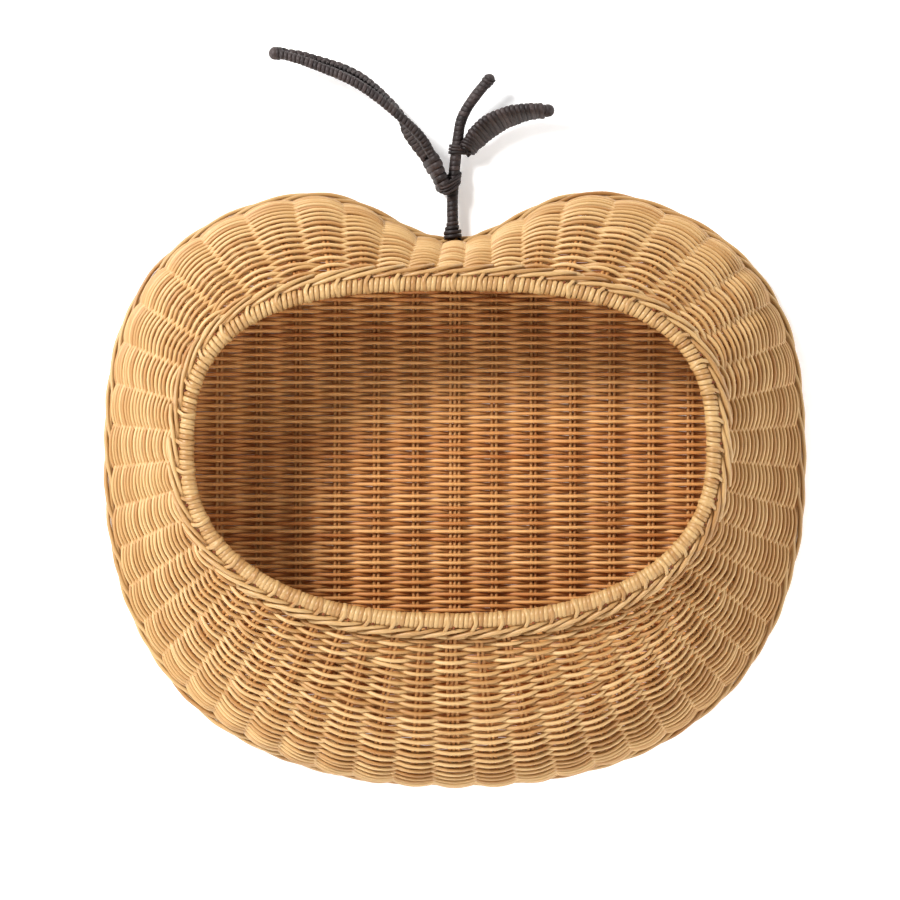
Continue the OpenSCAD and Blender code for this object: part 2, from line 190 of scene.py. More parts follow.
def wall_at(u, v):
    """Middle of the woven wall: u runs round it, clockwise from the top, and v from the back to the rim."""
    u, v = np.broadcast_arrays(np.asarray(u, float), np.asarray(v, float))
    back, rim = back_share(u), rim_share(u)
    out = outwards(outline_at, back)
    foot = lift(outline_at(back) - WALL_INSET * out, WALL_BACK)
    top = lift(rim_at(rim) + WALL_FRONT_OUT * outwards(rim_at, rim), WALL_FRONT)
    leaning = foot + lift(BELLY_BULGE * out, BELLY_DEPTH)
    turning = mix(foot, top, BELLY_REACH)
    turning[..., 1] = BELLY_DROP - WALL_FRONT
    turn = 2 * np.pi * u
    upper = LOBE_ROUNDNESS * np.sin(2 * turn) ** 2 + NOTCH_ROUNDNESS * np.cos(turn) ** 4
    roundness = np.where(np.cos(turn) < 0, np.cos(turn) ** 2, upper)[..., None]
    first = mix(mix(foot, top, 1 / 3), leaning, roundness)
    second = mix(mix(foot, top, 2 / 3), turning, roundness)
    t = v[..., None]
    return (1 - t) ** 3 * foot + 3 * (1 - t) ** 2 * t * first + 3 * (1 - t) * t * t * second + t**3 * top


def wall_out(u, v):
    along = wall_at(u, np.minimum(1, v + 0.01)) - wall_at(u, np.maximum(0, v - 0.01))
    round_it = wall_at(u + STEP, v) - wall_at(u - STEP, v)
    return unit(np.cross(along, round_it))


def smooth(points, parts):
    """Smooth curve through the points (Catmull-Rom), with so many parts between each two."""
    p = np.array(points, float)
    p = np.concatenate([[2 * p[0] - p[1]], p, [2 * p[-1] - p[-2]]])
    t = np.arange(parts)[:, None] / parts
    pieces = [
        0.5 * (2 * b + (c - a) * t + (2 * a - 5 * b + 4 * c - d) * t**2 + (3 * b - a - 3 * c + d) * t**3)
        for a, b, c, d in zip(p, p[1:], p[2:], p[3:])
    ]
    return np.concatenate([*pieces, [p[-2]]])


def sampled(line, shares):
    """Points of a line at the given shares of its length."""
    along = arc_shares(line)
    return np.stack([np.interp(shares, along, line[:, k]) for k in range(3)], -1)


def ahead_at(line, shares, reach):
    """Direction of a line at the given shares, taken over a reach on both sides of them."""
    return unit(sampled(line, np.clip(shares + reach, 0, 1)) - sampled(line, np.clip(shares - reach, 0, 1)))


def length_of(line):
    return np.linalg.norm(np.diff(line, axis=0), axis=1).sum()


def wobble(shares, size, waves):
    """Small smooth random swing along a cane."""
    total = np.zeros_like(shares)
    for count in waves:
        total += np.sin(2 * np.pi * (count * shares + random.random()))
    return size * total / len(waves)


# ---- canes -------------------------------------------------------------------------------


def round_section(diameter, sides):
    turn = 2 * np.pi * np.arange(sides) / sides
    return diameter / 2 * np.stack([np.cos(turn), np.sin(turn)], -1)


def flat_section(thickness, width, sides=8, powers=(0.8, 0.7)):
    """Crowned strip: its first axis is the thickness, its second the width."""
    turn = 2 * np.pi * np.arange(sides) / sides
    high = thickness / 2 * signed_power(np.cos(turn), powers[0])
    return np.stack([high, width / 2 * signed_power(np.sin(turn), powers[1])], -1)


class Canes:
    """The canes of one piece: sections swept along lines of points, gathered in one mesh."""

    def __init__(self):
        self.points, self.quads, self.ends = [], [], []
        self.tones, self.grain = [], []
        self.total = 0

    def add(self, line, up, section, scale=1.0, closed=False, taper=0.35):
        """Sweeps a section along a line, with its first axis along up, as far as the line allows."""
        line = np.asarray(line, float)
        up = np.broadcast_to(np.asarray(up, float), line.shape)
        scale = np.broadcast_to(np.asarray(scale, float), line.shape[:1])
        if closed:
            ahead = unit(np.roll(line, -1, 0) - np.roll(line, 1, 0))
        else:
            ahead = unit(np.gradient(line, axis=0))
            tip = np.abs(section).max() * taper
            line = np.concatenate([[line[0] - tip * ahead[0]], line, [line[-1] + tip * ahead[-1]]])
            ahead = np.concatenate([ahead[:1], ahead, ahead[-1:]])
            up = np.concatenate([up[:1], up, up[-1:]])
            scale = np.concatenate([[0.6 * scale[0]], scale, [0.6 * scale[-1]]])
        up = unit(up - (up * ahead).sum(1, keepdims=True) * ahead)
        side = np.cross(ahead, up)
        sides, rings = len(section), len(line)
        offsets = section[None, :, :1] * up[:, None] + section[None, :, 1:] * side[:, None]
        self.points.append((line[:, None] + scale[:, None, None] * offsets).reshape(-1, 3))
        ring, j = np.meshgrid(np.arange(rings if closed else rings - 1), np.arange(sides), indexing="ij")
        ring_next, j_next = (ring + 1) % rings, (j + 1) % sides
        quads = [ring * sides + j, ring * sides + j_next, ring_next * sides + j_next, ring_next * sides + j]
        self.quads.append(self.total + np.stack(quads, -1).reshape(-1, 4))
        if not closed:
            self.ends.append(self.total + np.arange(sides)[::-1])
            self.ends.append(self.total + (rings - 1) * sides + np.arange(sides))
        tone = random.random()
        along = np.concatenate([[0], np.cumsum(np.linalg.norm(np.diff(line, axis=0), axis=1))])
        grain = np.empty((rings, sides, 3))
        grain[..., 0] = along[:, None] + 4000 * tone
        grain[..., 1:] = section[None]
        self.grain.append(grain.reshape(-1, 3))
        self.tones.append(np.full(rings * sides, tone))
        self.total += rings * sides

    def piece(self, name, material, slot, *nodes):
        """One object of all these canes, which stands for the CAD nodes."""
        mesh = bpy.data.meshes.new(name)
        quads = np.concatenate(self.quads)
        sizes = np.concatenate([np.full(len(quads), 4), [len(e) for e in self.ends]]).astype(int)
        corners = np.concatenate([quads.ravel(), *self.ends]).astype(int)
        mesh.vertices.add(self.total)
        mesh.vertices.foreach_set("co", (np.concatenate(self.points) * MM).ravel())
        mesh.loops.add(len(corners))
        mesh.loops.foreach_set("vertex_index", corners)
        mesh.polygons.add(len(sizes))
        mesh.polygons.foreach_set("loop_start", np.concatenate([[0], np.cumsum(sizes)[:-1]]))
        mesh.polygons.foreach_set("use_smooth", np.ones(len(sizes), bool))
        mesh.update(calc_edges=True)
        mesh.attributes.new("tone", "FLOAT", "POINT").data.foreach_set("value", np.concatenate(self.tones))
        grain = (np.concatenate(self.grain) * MM).ravel()
        mesh.attributes.new("grain", "FLOAT_VECTOR", "POINT").data.foreach_set("vector", grain)
        mesh.materials.append(material)
        piece = bpy.data.objects.new(name, mesh)
        bpy.context.scene.collection.objects.link(piece)
        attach(piece, "root")
        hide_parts(*nodes)


# ---- materials ---------------------------------------------------------------------------


class Nodes:
    """Node tree of a material, built a node at a time."""

    def __init__(self, name):
        self.material = bpy.data.materials.new(name)
        self.material.use_nodes = True
        self.tree = self.material.node_tree
        self.tree.nodes.clear()
        self.output = self.tree.nodes.new("ShaderNodeOutputMaterial")

    def add(self, kind, settings=None, **inputs):
        """New node with its settings, and each input either a number or another node's output."""
        node = self.tree.nodes.new(kind)
        for name, value in (settings or {}).items():
            setattr(node, name, value)
        for name, value in inputs.items():
            socket = node.inputs[int(name[1:])] if name[0] == "_" else node.inputs[name.replace("_", " ")]
            if isinstance(value, bpy.types.NodeSocket):
                self.tree.links.new(value, socket)
            else:
                socket.default_value = value
        return node

    def noise(self, place, scale, detail, roughness):
        scaled = self.add("ShaderNodeMapping", Vector=place, Scale=scale).outputs[0]
        settings = {"Scale": 1.0, "Detail": detail, "Roughness": roughness}
        return self.add("ShaderNodeTexNoise", Vector=scaled, **settings).outputs[0]

    def ranged(self, value, **ends):
        """A value carried from one range to another."""
        return self.add("ShaderNodeMapRange", Value=value, **ends).outputs[0]

    def maths(self, operation, a, b):
        return self.add("ShaderNodeMath", {"operation": operation}, _0=a, _1=b).outputs[0]

    def attribute(self, name, output="Fac"):
        node = self.add("ShaderNodeAttribute", {"attribute_name": name})
        return node.outputs[output]

    def blend(self, share, a, b):
        """Mix of two colours."""
        node = self.add("ShaderNodeMix", {"data_type": "RGBA"})
        for index, value in ((0, share), (6, a), (7, b)):
            if isinstance(value, bpy.types.NodeSocket):
                self.tree.links.new(value, node.inputs[index])
            else:
                node.inputs[index].default_value = value
        return node.outputs[2]


def linear(red, green, blue):
    """Colour as a screen shows it, 0 to 255, in the values that the shader takes."""
    levels = [c / 255 for c in (red, green, blue)]
    return (*[c / 12.92 if c <= 0.04045 else ((c + 0.055) / 1.055) ** 2.4 for c in levels], 1)


FIBRE_SCALE = (90, 2600, 2600)  # fibres to a metre, roughly, along a cane and both ways across it
PATCH_SCALE = (22, 120, 120)  # the same for the paler and darker patches
FIBRE_DEPTH = 0.0002


def cane_material(name, light, middle, dark, roughness, streaks, relief, coat=0.0):
    """Peeled cane: each one has its own tone, patches along it, and fine lengthwise fibres."""
    n = Nodes(name)
    tone = n.attribute("tone")
    grain = n.attribute("grain", "Vector")
    fibres = n.noise(grain, FIBRE_SCALE, 3.0, 0.6)
    patches = n.noise(grain, PATCH_SCALE, 2.0, 0.5)
    ramp = n.add("ShaderNodeValToRGB", Fac=tone)
    ramp.color_ramp.elements[0].color = dark
    ramp.color_ramp.elements[1].color = light
    ramp.color_ramp.elements.new(0.45).color = middle
    patch_share = n.ranged(patches, From_Min=0.35, From_Max=0.7, To_Max=0.55)
    base = n.blend(patch_share, ramp.outputs[0], middle)
    streak_share = n.ranged(fibres, From_Min=0.5, From_Max=0.78, To_Max=streaks)
    colour = n.blend(streak_share, base, dark)
    rough = n.ranged(fibres, To_Min=roughness - 0.08, To_Max=roughness + 0.1)
    bump = n.add("ShaderNodeBump", Strength=relief, Distance=FIBRE_DEPTH, Height=fibres).outputs[0]
    shader = n.add("ShaderNodeBsdfPrincipled", Base_Color=colour, Roughness=rough, Normal=bump)
    shader.inputs["Coat Weight"].default_value = coat
    shader.inputs["Coat Roughness"].default_value = 0.35
    n.tree.links.new(shader.outputs[0], n.output.inputs[0])
    return n.material


# Lit and shaded copies of one rattan. The wall's copy is paler and lower in red than the panel's, which
# tones down the wall's lit outside.
RATTAN = cane_material(
    "rattan_weaver",
    linear(210, 175, 125),
    linear(196, 158, 106),
    linear(166, 118, 66),
    0.48, 0.5, 0.35, 0.12,
)
# Painted shade: the panel's copy of the same rattan is deeper and more orange, for the shaded inside of the
# mouth.
RATTAN_PANEL_SHADED = cane_material(
    "rattan_panel_shaded",
    linear(228, 178, 118),
    linear(216, 160, 99),
    linear(184, 118, 62),
    0.5, 0.5, 0.35, 0.08,
)
RATTAN_ROD = cane_material(
    "rattan_rod",
    linear(208, 160, 106),
    linear(192, 142, 88),
    linear(160, 106, 56),
    0.52, 0.5, 0.35,
)
RATTAN_PALE = cane_material(
    "rattan_pale",
    linear(196, 162, 112),
    linear(186, 149, 100),
    linear(160, 116, 67),
    0.42, 0.35, 0.25, 0.12,
)
DARK_CANE = cane_material(
    "dark_cane",
    linear(73, 61, 59),
    linear(56, 46, 45),
    linear(34, 27, 27),
    0.55, 0.45, 0.5, 0.0,
)
CUT_END = cane_material(
    "cut_end",
    linear(150, 88, 48),
    linear(124, 66, 36),
    linear(88, 44, 24),
    0.7, 0.6, 0.3,
)

# ---- wall --------------------------------------------------------------------------------

FLOAT_PARTS = 8  # samples of a woven cane from one group of rods to the next
RING = PAIRS * FLOAT_PARTS
SWING = 2.25  # how far a woven cane swings out of the wall's middle
SWING_POWER = 0.8  # under 1 it lies flatter over the rods and goes through more steeply
END_GAP = 0.05  # how far each end of a row is drawn back, so that the ends don't meet


def swing(places, parity, size):
    """Way of a woven cane out of and into the wall at places counted in pitches."""
    return (1 if parity == 0 else -1) * size * signed_power(np.cos(np.pi * places), SWING_POWER)


def meridians(u):
    """Length of the wall from back to rim at each u, and tables from that length to v."""
    v = np.linspace(0, 1, 81)
    grid = wall_at(u[:, None], v[None, :])
    steps = np.linalg.norm(np.diff(grid, axis=1), axis=2)
    along = np.concatenate([np.zeros((len(u), 1)), np.cumsum(steps, 1)], 1)
    return v, along


def runs(present):
    """Stretches of neighbouring rods round the wall at which a flag is set, as first and last place."""
    if present.all():
        return [(0, PAIRS - 1)]
    starts = [k for k in range(PAIRS) if present[k] and not present[k - 1]]
    found = []
    for first in starts:
        last = first
        while present[(last + 1) % PAIRS]:
            last += 1
        found.append((first, last))
    return found


def row_plan():
    """Rows of the wall from back to rim: (parity, first, last), or no ends where a row goes all the way."""
    places = np.arange(PAIRS)
    v, along = meridians(places * PITCH)
    wanted = along[:, -1] / ROW_PITCH
    plan = [[(row % 2, None, None)] for row in range(FULL_ROWS)]
    count = int((wanted.max() - FULL_ROWS + 1) // 2)
    for pair in range(count):
        # Steps of the golden ratio spread the pairs of short rows evenly among the full ones
        slot = 2 * int((0.31 + 0.618 * pair) % 1 * (FULL_ROWS // 2 - 2)) + 3
        for first, last in runs(wanted >= FULL_ROWS + 2 * pair + 1):
            if last - first < SHORTEST_ROW:
                continue
            for parity in ((slot + 1) % 2, slot % 2):
                begins = first + (first + parity + 1) % 2
                ends = last - (last + parity + 1) % 2
                plan[slot].append((parity, begins, ends))
    return [row for group in plan for row in group]


def presence(places, first, last):
    """How much room a short row takes at each place: all of it between its ends, none beyond them."""
    middle, half = (first + last) / 2, (last - first) / 2
    away = np.abs((places - middle + PAIRS / 2) % PAIRS - PAIRS / 2)
    t = np.clip((half + 0.4 - away) / 1.2, 0, 1)
    return t * t * (3 - 2 * t)


def weave_wall():
    places = np.arange(RING) / FLOAT_PARTS
    u = places * PITCH
    plan = row_plan()
    room = np.ones((len(plan), RING))
    for index, (parity, first, last) in enumerate(plan):
        if first is not None:
            room[index] = presence(places, first, last)
    shares = (np.cumsum(room, 0) - room / 2) / room.sum(0)
    v, along = meridians(u)
    groups = [Canes() for _ in range(3)]
    section = round_section(WEAVER_D, 8)
    for index, (parity, first, last) in enumerate(plan):
        lengths = shares[index] * along[:, -1] + wobble(u, 0.3, (7, 13, 24, 31))
        v_row = np.array([np.interp(lengths[i], along[i], v) for i in range(RING)])
        if first is None:
            first = 2 * int(random.integers(PAIRS // 2)) + 1 - parity
            last = first + PAIRS
        count = int((last - first) * FLOAT_PARTS)
        i = (np.arange(count + 1) + first * FLOAT_PARTS) % RING
        size = SWING * (1 + wobble(u[i], 0.1, (9, 21, 26)))
        offset = swing(places[i], parity, size)
        line = wall_at(u[i], v_row[i]) + offset[:, None] * wall_out(u[i], v_row[i])
        scale = 1 + 0.07 * (random.random() - 0.5) + wobble(u[i], 0.025, (3, 8, 17))
        group = groups[min(2, int(3 * shares[index].mean()))]
        line[[0, -1]] += END_GAP * unit(line[[1, -2]] - line[[0, -1]])
        group.add(line, wall_out(u[i], v_row[i]), section, scale)
    for group, name in zip(groups, ("back", "middle", "front")):
        group.piece(
            f"wall_rows_{name}", RATTAN, "rattan_weaver", f"outer_rows_{name}", f"inner_rows_{name}"
        )


def group_sides(place, centres):
    """Sideways places of the canes of a group: three in a centre group, two in the others."""
    return np.array([-1, 0, 1] if place in centres else [-0.5, 0.5]) * PAIR_GAP


def stake_wall():
    canes = Canes()
    v = np.linspace(0, 1, 25)
    section = round_section(ROD_D, 8)
    for place in range(PAIRS):
        u = np.full_like(v, place * PITCH)
        across = unit(wall_at(u + STEP, v) - wall_at(u - STEP, v))
        for side in group_sides(place, (0, PAIRS // 2)):
            aside = side + wobble(v, 0.12, (1.3, 2.7))
            line = wall_at(u, v) + aside[:, None] * across
            canes.add(line, wall_out(u, v), section, 1 + 0.06 * (random.random() - 0.5))
    canes.piece("wall_stakes", RATTAN_ROD, "rattan_rod", "wall_rods_upper", "wall_rods_lower")


# ---- back --------------------------------------------------------------------------------

PANEL_INSET = 10.8
ROD_Y = WEAVER_D + ROD_D / 2  # depth of the upright canes of the panel
PANEL_SWING = 2.15


def inset(u, distance):
    return outline_at(u) - distance * outwards(outline_at, u)


PANEL_EDGE = inset(np.linspace(0, 1, 1441), PANEL_INSET)


def crossings(axis, value):
    """Places along the other axis at which the panel's edge crosses a level, in order."""
    here, there = PANEL_EDGE[:-1], PANEL_EDGE[1:]
    crossing = (here[:, axis] - value) * (there[:, axis] - value) < 0
    share = (value - here[crossing, axis]) / (there[crossing, axis] - here[crossing, axis])
    return np.sort(mix(here[crossing, 1 - axis], there[crossing, 1 - axis], share))


def weave_panel():
    low, high = PANEL_EDGE[:, 1].min() + 1, PANEL_EDGE[:, 1].max() - 1
    rows = int((high - low) / PANEL_ROW_PITCH)
    halves = {"lower": Canes(), "upper": Canes()}
    section = round_section(WEAVER_D * 0.97, 7)
    for row in range(rows + 1):
        z = low + (high - low) * row / rows
        ends = crossings(1, z)
        for left, right in zip(ends[::2], ends[1::2]):
            if right - left < PANEL_PITCH / 2:
                continue
            count = max(4, int(round((right - left) / PANEL_PITCH * 7)))
            x = np.linspace(left - 1.5, right + 1.5, count + 1)
            share = x / (2 * HALF_WIDTH)
            size = PANEL_SWING * (1 + wobble(share, 0.08, (5, 11)))
            depth = ROD_Y + swing(x / PANEL_PITCH, row % 2, size)
            height = z + wobble(share, 0.16, (2, 5, 9, 14))
            line = np.stack([x, -depth, height], -1)
            scale = 1 + 0.06 * (random.random() - 0.5) + wobble(share, 0.02, (4, 9))
            halves["lower" if z < 0 else "upper"].add(line, (0, -1, 0), section, scale)
    # The panel's rows take the copy of the rattan that carries painted shade.
    halves["lower"].piece("panel_rows_lower", RATTAN_PANEL_SHADED, "rattan_weaver", "back_weavers_front")
    halves["upper"].piece("panel_rows_upper", RATTAN_PANEL_SHADED, "rattan_weaver", "back_weavers_rear")


def stake_panel():
    canes = Canes()
    section = round_section(ROD_D, 8)
    for group in range(-PANEL_GROUPS, PANEL_GROUPS + 1):
        for side in group_sides(group, (0,)):
            x = group * PANEL_PITCH + side
            low, high = crossings(0, x)[[0, -1]]
            z = np.linspace(low - 1, high + 1, 40)
            line = np.stack([x + wobble(z / 300, 0.15, (2, 5, 8)), np.full_like(z, -ROD_Y), z], -1)
            canes.add(line, (0, -1, 0), section, 1 + 0.06 * (random.random() - 0.5))
    canes.piece("panel_stakes", RATTAN_ROD, "rattan_rod", "back_rods")


def hoop(name, line, diameter, node):
    canes = Canes()
    canes.add(line, (0, -1, 0), round_section(diameter, 16), closed=True)
    canes.piece(name, RATTAN_ROD, "rattan_rod", node)


def edge_hoops():
    u = np.arange(240) / 240
    hoop("back_edge_hoop", lift(inset(u, HOOP_INSET), HOOP_D / 2 + 0.5), HOOP_D, "back_hoop")
    hoop("rim_core", lift(rim_at(u), RIM_DEPTH), RIM_HOOP_D, "rim_hoop")


def roll_back_border():
    """Ends of the upright canes, laid over one another round the back edge in long arcs."""
    canes = Canes()
    section = round_section(BACK_BORDER_D, 8)
    under = np.arange(260) / 260
    for distance, depth in ((4.6, 3.4), (5.4, 6.4)):
        canes.add(lift(inset(under, distance), depth), (0, -1, 0), section, closed=True)
    for place in range(PAIRS):
        length = 1.95 + 0.2 * random.random()
        t = np.linspace(0, 1, 22)
        u = back_share((place + 0.1 * random.random() + length * t) * PITCH)
        bow = np.interp(t, [0, 0.3, 0.62, 0.85, 1], [0, 0.7, 1, 0.8, 0.45])
        distance = mix(6.6, 1.9 + 0.7 * random.random(), bow)
        depth = np.interp(t, [0, 0.25, 0.6, 1], [8.6, 7.2, 4.9, 2.2])
        line = lift(outline_at(u) - distance[:, None] * outwards(outline_at, u), depth)
        line = smooth(line[::3], 4)
        canes.add(line, (0, -1, 0), section, 1 + 0.12 * (random.random() - 0.5))
    canes.piece(
        "back_border", RATTAN_PALE, "rattan_pale", "back_border_strand_a", "back_border_strand_b"
    )


def hang():
    """Rings of bound cane in the back of the panel."""
    for side in ("left", "right"):
        low, high = millimetres(f"hanging_eyelet_{side}")
        middle = (low + high) / 2
        thickness = high[1] - low[1]
        radius = (high[0] - low[0] - 2.2) / 2
        canes = Canes()
        turn = np.linspace(0, 2 * np.pi, 49)[:-1]
        ring = np.stack([np.cos(turn), 0 * turn, np.sin(turn)], -1)
        canes.add(middle + radius * ring, (0, -1, 0), round_section(1.6, 8), closed=True)
        winds = 26
        a = np.linspace(0, 2 * np.pi, winds * 12 + 1)[:-1]
        out = np.stack([np.cos(a), 0 * a, np.sin(a)], -1)
        wind = winds * a
        around = np.cos(wind)[:, None] * out + np.sin(wind)[:, None] * np.array([0, 1, 0])
        size = np.array([0.85, thickness / 2 - 0.4, 0.85])
        canes.add(middle + radius * out + around * size, around, flat_section(0.5, 1.3, 6), closed=True)
        canes.piece(f"hanging_ring_{side}", RATTAN_PALE, "rattan_pale", f"hanging_eyelet_{side}")


# ---- rim ---------------------------------------------------------------------------------

WRAP_TURNS = 286  # turns of split cane round the rim


def rim_frame(u):
    """Middle of the rim, and the direction out of the mouth."""
    return lift(rim_at(u), RIM_DEPTH), lift(outwards(rim_at, u), 0)


def wrap_rim():
    """Flat split cane wound edge to edge over the rim's hoop."""
    canes = Canes()
    parts = 16
    section = flat_section(WRAP_THICKNESS, WRAP_WIDTH)
    radius = RIM_WRAP_D / 2 - WRAP_THICKNESS / 2
    for turn in range(WRAP_TURNS):
        t = np.linspace(0, 1, parts + 1)
        u = rim_share((turn + t + wobble(t, 0.04, (1,))) / WRAP_TURNS)
        middle, out = rim_frame(u)
        a = 2 * np.pi * t
        around = np.cos(a)[:, None] * out + np.sin(a)[:, None] * np.array([0, 1, 0])
        swell = radius + 0.12 * (random.random() - 0.5)
        canes.add(middle + swell * around, around, section, 1 + 0.1 * (random.random() - 0.5))
    canes.piece("rim_wrapping", RATTAN_PALE, "rattan_pale", "rim_wrap")


def lash_rim():
    """Turns that also take in the upright canes, and the cut ends of those canes."""
    lashes, nubs = Canes(), Canes()
    section = flat_section(1.1, 2.3)
    for place in range(PAIRS):
        a = np.linspace(-0.75, 1.1, 22) * np.pi
        reach = np.clip(np.cos(a), 0, 1) ** 3
        u = rim_share((place + 0.2 * reach + 0.04 * a) * PITCH)
        middle, out = rim_frame(u)
        radius = RIM_WRAP_D / 2 - 0.1 + 1.7 * reach
        around = np.cos(a)[:, None] * out + np.sin(a)[:, None] * np.array([0, -1, 0])
        lashes.add(middle + radius[:, None] * around, around, section, 0.95 + 0.1 * random.random())
        for side in (-1, 1):
            u = rim_share((place + 0.14 * side + 0.06 * random.random()) * PITCH + np.zeros(4))
            middle, out = rim_frame(u)
            lean = out + np.array([0, -0.55, 0])
            reach = np.linspace(3.4, 4.5 + 0.7 * random.random(), 4)[:, None]
            nubs.add(middle + reach * unit(lean), (0, 0.7, 0.7), round_section(1.5, 7))
    lashes.piece("rim_lashes", RATTAN_PALE, "rattan_pale", "rim_wrap")
    nubs.piece("rim_stake_ends", CUT_END, "rattan_rod", "rim_wrap")


def roll_rim_border():
    """Ends of the upright canes, each laid beside the last round the outside of the rim."""
    canes = Canes()
    section = round_section(RIM_BORDER_D, 8)
    for place in range(PAIRS):
        length = 2.2 + 0.25 * random.random()
        t = np.linspace(0, 1, 28)
        u = rim_share((place + 0.1 * random.random() + length * t) * PITCH)
        out_by = mix(3.6, 10.4, t) + wobble(t, 0.2, (1, 2))
        depth = RIM_DEPTH + np.interp(
            t, [0, 0.12, 0.3, 0.6, 0.8, 0.92, 1], [-4.0, -1.2, 0.6, 0.2, -1.8, -5, -9]
        )
        line = lift(rim_at(u) + out_by[:, None] * outwards(rim_at, u), depth)
        canes.add(smooth(line[::3], 4), (0, -1, 0), section, 1 + 0.12 * (random.random() - 0.5))
    canes.piece(
        "rim_border", RATTAN_PALE, "rattan_pale", "rim_border_strand_a", "rim_border_strand_b"
    )


# ---- stem and leaves ---------------------------------------------------------------------

BIND_PITCH = 2.06  # from one turn of the dark binding to the next

# Middle lines of the bound rods, through the same points as in the CAD part
STEM = [
    (STEM_X, -STEM_DEPTH, 104),
    (STEM_X, -STEM_DEPTH, 133),
    (STEM_X, -STEM_DEPTH, 150),
    (0.3, -9, 170),
    (1.8, -10.5, 182),
    (3.2, -11.6, 190.6),
    (6.8, -12.8, 198.6),
    (12.8, -14.4, 207),
    (19.5, -16, 214.8),
]
LEFT_FRONT = [
    (-4.6, -12.9, 150.8), (-8.4, -14, 159.6), (-14, -18, 172.6), (-24, -24, 186),
    (-53, -28, 209.4), (-82, -24, 223), (-100, -19, 229.2),
]
LEFT_REAR = [
    (-7, -6.8, 150.8), (-9.6, -6.6, 159), (-16, -7.4, 168.4), (-27.6, -8, 184),
    (-33, -10, 197), (-56, -12, 218), (-86, -14, 228.4), (-98.5, -15, 230.6),
]
RIGHT_UPPER = [
    (5.4, -13.4, 174.4), (9.4, -15, 182.4), (17, -19, 190.4),
    (30, -21, 196.2), (45, -20, 198), (51, -18, 197.8),
]
RIGHT_LOWER = [
    (6.8, -7.4, 172.8), (10.6, -7.2, 176.6), (17.6, -7, 182.4),
    (28, -7, 189.4), (42, -9, 195), (51, -12, 196),
]

LEFT_RODS = ("left_leaf_front_rod", "left_leaf_rear_rod")
RIGHT_RODS = ("right_leaf_upper_rod", "right_leaf_lower_rod")

# Radius over the binding of each rod, and the pitch of its turns
LEFT_RADII, LEFT_PITCHES = (2.8, 2.7), (2.65, 4.1)
RIGHT_RADII, RIGHT_PITCHES = (2.3, 2.3), (2.2, 2.2)

# Share of the leaf that its thick foot takes, how far its turns lie from the rods, and their number
LEFT_FOOT, RIGHT_FOOT = (0.17, 3.1, 5), (0.12, 2.7, 3)


def level(ahead):
    """Direction across a line that lies in the plane of the wall, and turns with the line smoothly."""
    return unit(np.cross(np.array([0, 1.0, 0]), ahead))


def bind(canes, line, radius, thickness=1.1, pitch=BIND_PITCH, ragged=0.05, powers=(0.8, 0.7)):
    """Winds a flat strip edge to edge round a line. The radius is spread evenly along it."""
    turns = max(1, round(length_of(line) / pitch))
    radius = np.atleast_1d(np.asarray(radius, float))
    section = flat_section(thickness, pitch * 0.99, 10, powers)
    for turn in range(turns):
        t = np.linspace(0, 1, 15)
        share = (turn + t) / turns
        centre = sampled(line, share)
        ahead = ahead_at(line, share, 0.01)
        first = level(ahead)
        second = np.cross(ahead, first)
        a = 2 * np.pi * t
        around = np.cos(a)[:, None] * first + np.sin(a)[:, None] * second
        middle = np.interp(share, np.linspace(0, 1, len(radius)), radius) - thickness / 2
        size = middle + ragged * 2 * (random.random() - 0.5)
        canes.add(centre + size[:, None] * around, around, section, 1 + 0.08 * (random.random() - 0.5))


def bind_both(canes, first, second, radius, turns, thickness=1.8):
    """Winds round two lines together."""
    section = flat_section(thickness, length_of(first) / turns * 1.05, 10)
    t = np.linspace(0, 1, 31)
    for turn in range(turns):
        share = (turn + t) / turns
        a, b = sampled(first, share), sampled(second, share)
        span = np.linalg.norm(b - a, axis=1)[:, None]
        across = (b - a) / span
        ahead = ahead_at(first, share, 0.05)
        normal = unit(np.cross(ahead, across))
        cosine, sine = np.cos(2 * np.pi * t)[:, None], np.sin(2 * np.pi * t)[:, None]
        size = radius + 0.5 * (random.random() - 0.5)
        sideways = (span / 2 + size) * signed_power(cosine, 0.8) * across
        line = (a + b) / 2 + (sideways + size * signed_power(sine, 0.7) * normal)
        canes.add(line, unit(cosine * across + sine * normal), section)


def rod(canes, line, diameter):
    canes.add(line, level(unit(np.gradient(line, axis=0))), round_section(diameter, 8))


def knob(canes, centre, ahead, radius):
    """Rounded end of a bound rod."""
    t = np.linspace(-0.98, 0.98, 13)
    line = centre + radius * t[:, None] * ahead
    up = unit(np.cross(ahead, np.array([0, 1.0, 0])))
    canes.add(line, up, round_section(2 * radius, 16), np.sqrt(1 - t * t), taper=0.01)


def build_stem():
    line = smooth(STEM, 8)
    core = Canes()
    rod(core, line, 3)
    core.piece("stem_rod", DARK_CANE, "dark_cane", "stem_core")
    bound = line[line[:, 2] > 128]
    canes = Canes()
    bind(canes, bound, [3.25, 3.25, 3.25, 3.2, 3.1, 3.1, 3.1], 0.9, 2.9, 0.07, (0.32, 0.25))
    canes.piece("stem_binding", DARK_CANE, "dark_cane", "stem_wrap")
    low, high = millimetres("stem_collar")
    foot = np.array([[STEM_X, -STEM_DEPTH, low[2] - 1.2], [STEM_X, -STEM_DEPTH, high[2]]])
    collar = Canes()
    bind(collar, smooth(foot, 4), [5.1, 5.3, 5.2, 3.9, 3.5], 1.8, 2.2, 0.04, (0.4, 0.3))
    collar.piece("stem_collar_binding", DARK_CANE, "dark_cane", "stem_collar")
    ahead = unit(line[-1] - line[-2])
    cap = Canes()
    end = np.stack([line[-1] - 2.6 * ahead, line[-1] + 1.6 * ahead])
    bind(cap, smooth(end, 4), [3.5, 3.7, 3.6], 1.4, 2.1)
    knob(cap, line[-1] + 0.6 * ahead, ahead, 3.2)
    cap.piece("stem_end", DARK_CANE, "dark_cane", "stem_cap")


